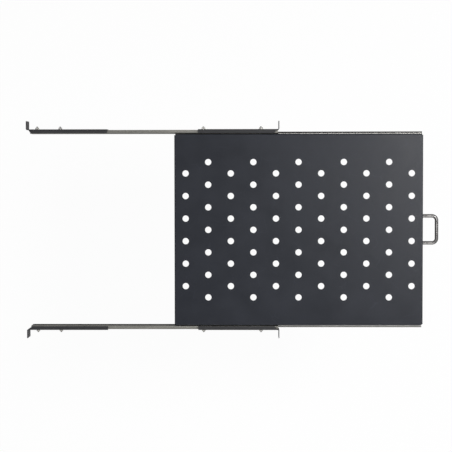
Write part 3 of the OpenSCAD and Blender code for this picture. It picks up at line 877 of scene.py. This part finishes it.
def shelf_plate():
    """One sheet, folded down at its four edges and then punched."""
    inner_x = SHELF_X - SHELF_CORNER_R
    front = SHELF_FRONT + SHELF_CORNER_R
    rear = SHELF_REAR - SHELF_CORNER_R
    bend_z = SHELF_TOP - SHELF_CORNER_R
    drop_selection()
    bpy.ops.mesh.primitive_plane_add(size=1, location=(0, (front + rear) / 2 * MM, SHELF_TOP * MM))
    bpy.context.object.scale = (2 * inner_x * MM, (rear - front) * MM, 1)
    plate = started("shelf_plate_looks")
    folds = (
        (lambda end: end.x > inner_x - NEAR, (inner_x, 0, bend_z), (0, 1, 0), FLANGE_H),
        (lambda end: end.x < NEAR - inner_x, (-inner_x, 0, bend_z), (0, -1, 0), FLANGE_H),
        (lambda end: end.y < front + NEAR, (0, front, bend_z), (1, 0, 0), FLANGE_H),
        (lambda end: end.y > rear - NEAR, (0, rear, bend_z), (-1, 0, 0), REAR_LIP_H),
    )
    for at_edge, centre, axis, drop in folds:
        edit(plate, "EDGE")
        pick_edges(lambda end: at_edge(end) and end.z > SHELF_TOP - NEAR)
        swing(SHELF_BEND_STEPS, -pi / 2, centre, axis)
        draw_out(0, 0, SHELF_CORNER_R - drop)
        done()
    edit(plate, "VERT")
    merge_doubles(FOLD_MERGE)
    face_outwards()
    faces = bmesh.from_edit_mesh(plate.data).faces
    if max(faces, key=lambda face: face.calc_area()).normal.z < 0:
        bpy.ops.mesh.flip_normals()
    done()
    apply_modifier(plate, "SOLIDIFY", thickness=SHELF_T * MM, offset=-1, use_even_offset=True)
    combine(plate, sheet_holes(), "DIFFERENCE")
    soften(plate, COATED_EDGE)
    fit(plate, "shelf", "black_coat", SHELF_COAT, "shelf_plate", "shelf_flanges")


def handle():
    """One rod, drawn out of the lip, bent twice and brought back, with a bore in each leg."""
    leg = HANDLE_REACH - ROD_BEND
    half = HANDLE_SPAN / 2
    drop_selection()
    bpy.ops.mesh.primitive_circle_add(
        vertices=ROD_SIDES, radius=ROD_D / 2 * MM, fill_type="NGON", rotation=(radians(90), 0, 0),
        location=(half * MM, SHELF_FRONT * MM, HANDLE_Z * MM))
    grip = started("handle_looks")
    edit(grip)
    bpy.ops.mesh.select_all(action="SELECT")
    draw_out(0, -leg, 0)
    swing(ROD_BEND_STEPS, pi / 2, (half - ROD_BEND, SHELF_FRONT - leg, HANDLE_Z), (0, 0, 1))
    draw_out(-2 * (half - ROD_BEND), 0, 0)
    swing(ROD_BEND_STEPS, pi / 2, (ROD_BEND - half, SHELF_FRONT - leg, HANDLE_Z), (0, 0, 1))
    draw_out(0, leg, 0)
    pick_faces(lambda middle, normal: middle.y > SHELF_FRONT - NEAR and abs(normal.y) > SQUARELY)
    bpy.ops.mesh.inset(thickness=(ROD_D - BORE_D) / 2 * MM, depth=0)
    draw_out(0, -BORE_DEPTH, 0)
    merge_doubles()
    face_outwards()
    done()
    shade_bends(grip)
    fit(grip, "shelf", "satin_steel", HANDLE_CHROME, "handle")


# Slides, brackets, balls and bumpers

def merged_copy(node):
    """A CAD node's shape as one closed surface, with flat faces whole again."""
    flat_within = radians(1.5)
    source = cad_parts[node]
    piece = source.copy()
    piece.data = source.data.copy()
    piece.name = node + "_looks"
    piece.data.name = piece.name
    bpy.context.scene.collection.objects.link(piece)
    edit(piece, "VERT")
    merge_doubles()
    bpy.ops.mesh.dissolve_limited(angle_limit=flat_within)
    done()
    return piece


def formed_sheet():
    """The slides, cages and brackets: sheet with its cut edges broken and its bends smooth."""
    for side in ("right", "left"):
        for part, body, slot, finish, broken in (
            ("cabinet_member", "fixed_slides", "zinc_slides", CABINET_ZINC, SLIDE_EDGE),
            ("drawer_member", "shelf", "zinc_slides", DRAWER_ZINC[side], SLIDE_EDGE),
            ("front_bracket", "fixed_slides", "black_coat", BRACKET_COAT, COATED_EDGE),
            ("rear_bracket", side + "_rear_ear", "black_coat", BRACKET_COAT, COATED_EDGE),
        ):
            node = f"{side}_{part}"
            piece = merged_copy(node)
            soften(piece, broken)
            fit(piece, body, slot, finish, node)
        cage = merged_copy(side + "_ball_cage")
        shade_bends(cage)
        fit(cage, side + "_cage", "cage_steel", CAGE_STRIP, side + "_ball_cage")


def ball_rows():
    """Two rows of balls a side, in the cages' pockets."""
    first_y = CAGE_MIDDLE - (BALL_COUNT - 1) / 2 * BALL_PITCH
    for side, way in (("right", 1), ("left", -1)):
        drop_selection()
        bpy.ops.mesh.primitive_uv_sphere_add(segments=28, ring_count=16, radius=BALL_D / 2 * MM)
        pattern = started("ball")
        bpy.ops.object.shade_smooth()
        balls = []
        for step in range(BALL_COUNT):
            for row in (1, -1):
                point = (way * BALL_X, first_y + step * BALL_PITCH, row * BALL_Z)
                balls.append(placed(pattern, "ball", point, (way, 0, 0)))
        bpy.data.objects.remove(pattern)
        whole = joined(balls, side + "_balls_looks")
        fit(whole, side + "_cage", "ball_steel", BALL_STEEL, side + "_balls")


def rear_bumpers():
    """Rubber stops with rounded edges, grip ribs on the face and a peg through the web."""
    web_x = CABINET_X - SLIDE_T
    for side, way in (("right", 1), ("left", -1)):
        name = side + "_rear_bumper_looks"
        low_x, high_x = sorted((way * BUMPER_INNER_X, way * web_x))
        bumper = slab(name, (low_x, BUMPER_FRONT, -BUMPER_H / 2), (high_x, CABINET_REAR, BUMPER_H / 2))
        edit(bumper)
        pick_faces(lambda middle, normal: normal.y < -SQUARELY)
        for inset, rise in BUMPER_FACE_STEPS:
            bpy.ops.mesh.inset(thickness=inset * MM, depth=rise * MM)
        done()
        soften(bumper, BUMPER_ROUND, angle=60, segments=3)
        peg_rod = rod("peg_rod", PEG_D / 2, PEG_ROOT + SLIDE_T, (0, 0, -PEG_ROOT), sides=32)
        peg = placed(peg_rod, "peg", (way * web_x, (BUMPER_FRONT + CABINET_REAR) / 2, 0), (way, 0, 0))
        bpy.data.objects.remove(peg_rod)
        edit(peg, "EDGE")
        pick_edges(lambda end: abs(end.x) > CABINET_X - NEAR)
        round_off(PEG_ROUND, segments=3)
        done()
        bumper = joined([bumper, peg], name)
        fit(bumper, "fixed_slides", "bumper_rubber", BUMPER_RUBBER, side + "_rear_bumper")


# Stage

def camera():
    """Almost straight above, with the shelf's front to the right, fitted to the photo. In metres."""
    place = (0.147322, 0.058496, 3.505973)
    back = Vector((0.03979879, -0.01667479, 0.99906857))
    up = Vector((0.999206839, -0.000658950, -0.039815297))
    right = up.cross(back).normalized()
    lens = bpy.data.cameras.new("camera")
    lens.sensor_width = 36
    lens.lens = 125.344
    lens.clip_end = 50
    eye = bpy.data.objects.new("camera", lens)
    turn = Matrix((right, up, back)).transposed().to_4x4()
    eye.matrix_world = Matrix.Translation(place) @ turn
    bpy.context.scene.collection.objects.link(eye)
    bpy.context.scene.camera = eye


def white_share(tree, place):
    """1 for camera, glossy and transmission rays, 0 for the rays that light things."""
    rays = shader_node(tree, "ShaderNodeLightPath", place)
    seen = maths(tree, (place[0] + 1, place[1]), "MAXIMUM", rays.outputs["Is Camera Ray"],
                 rays.outputs["Is Glossy Ray"])
    return maths(tree, (place[0] + 2, place[1]), "MAXIMUM", seen, rays.outputs["Is Transmission Ray"])


def switched(tree, share, for_lighting, for_looks, end):
    """Mixes what lights things with what is seen, by a share, and feeds an output socket."""
    mix = shader_node(tree, "ShaderNodeMixShader", (2, 0))
    tree.links.new(share, mix.inputs["Fac"])
    tree.links.new(for_lighting.outputs[0], mix.inputs[1])
    tree.links.new(for_looks.outputs[0], mix.inputs[2])
    tree.links.new(mix.outputs[0], end)


def studio():
    """A world that looks white and lights softly, with three square lamps (metres and watts)."""
    world = bpy.data.worlds.new("studio")
    world.use_nodes = True
    bpy.context.scene.world = world
    tree = world.node_tree
    tree.nodes.clear()
    soft = shader_node(tree, "ShaderNodeBackground", (0, -1), Color=(0.96, 0.98, 1, 1), Strength=0.2)
    white = shader_node(tree, "ShaderNodeBackground", (0, 1), Color=(1, 1, 1, 1), Strength=1.0)
    end = shader_node(tree, "ShaderNodeOutputWorld", (4, 0))
    switched(tree, white_share(tree, (-4, 2)), soft, white, end.inputs["Surface"])

    aim = Vector((0, 0.1, 0))
    for name, place, size, power in (
        ("front_softbox", (0.4, -0.98, 2.1), 0.6, 48),
        ("side_softbox", (-1.8, -0.7, 1.4), 1.2, 24),
        ("rear_fill", (1.2, 1.9, 2.2), 1.6, 9),
    ):
        lamp = bpy.data.lights.new(name, "AREA")
        lamp.shape = "SQUARE"
        lamp.size = size
        lamp.energy = power
        stand = bpy.data.objects.new(name, lamp)
        stand.location = place
        stand.rotation_euler = (aim - Vector(place)).to_track_quat("-Z", "Y").to_euler()
        bpy.context.scene.collection.objects.link(stand)


def floor():
    """A pale floor that reads white from above and still takes the shelf's soft shadow."""
    width = 14
    below = 0.7
    glow_share = 0.955
    drop_selection()
    bpy.ops.mesh.primitive_plane_add(size=width, location=(0, 0, -below))
    sheet = started("floor")
    paper = bpy.data.materials.new("floor_paper")
    paper.use_nodes = True
    tree = paper.node_tree
    tree.nodes.clear()
    matt = shader_node(tree, "ShaderNodeBsdfDiffuse", (0, -1), Color=(0.9, 0.9, 0.9, 1))
    glow = shader_node(tree, "ShaderNodeEmission", (0, 1), Color=(1, 1, 1, 1), Strength=1.0)
    end = shader_node(tree, "ShaderNodeOutputMaterial", (4, 0))
    share = maths(tree, (1, 2), "MULTIPLY", white_share(tree, (-4, 2)), glow_share)
    switched(tree, share, matt, glow, end.inputs["Surface"])
    sheet.data.materials.append(paper)


drop_selection()
camera()
studio()
floor()
shelf_plate()
handle()
formed_sheet()
ball_rows()
rear_bumpers()
fasteners()
bpy.context.scene.view_settings.view_transform = "Standard"
drop_selection()
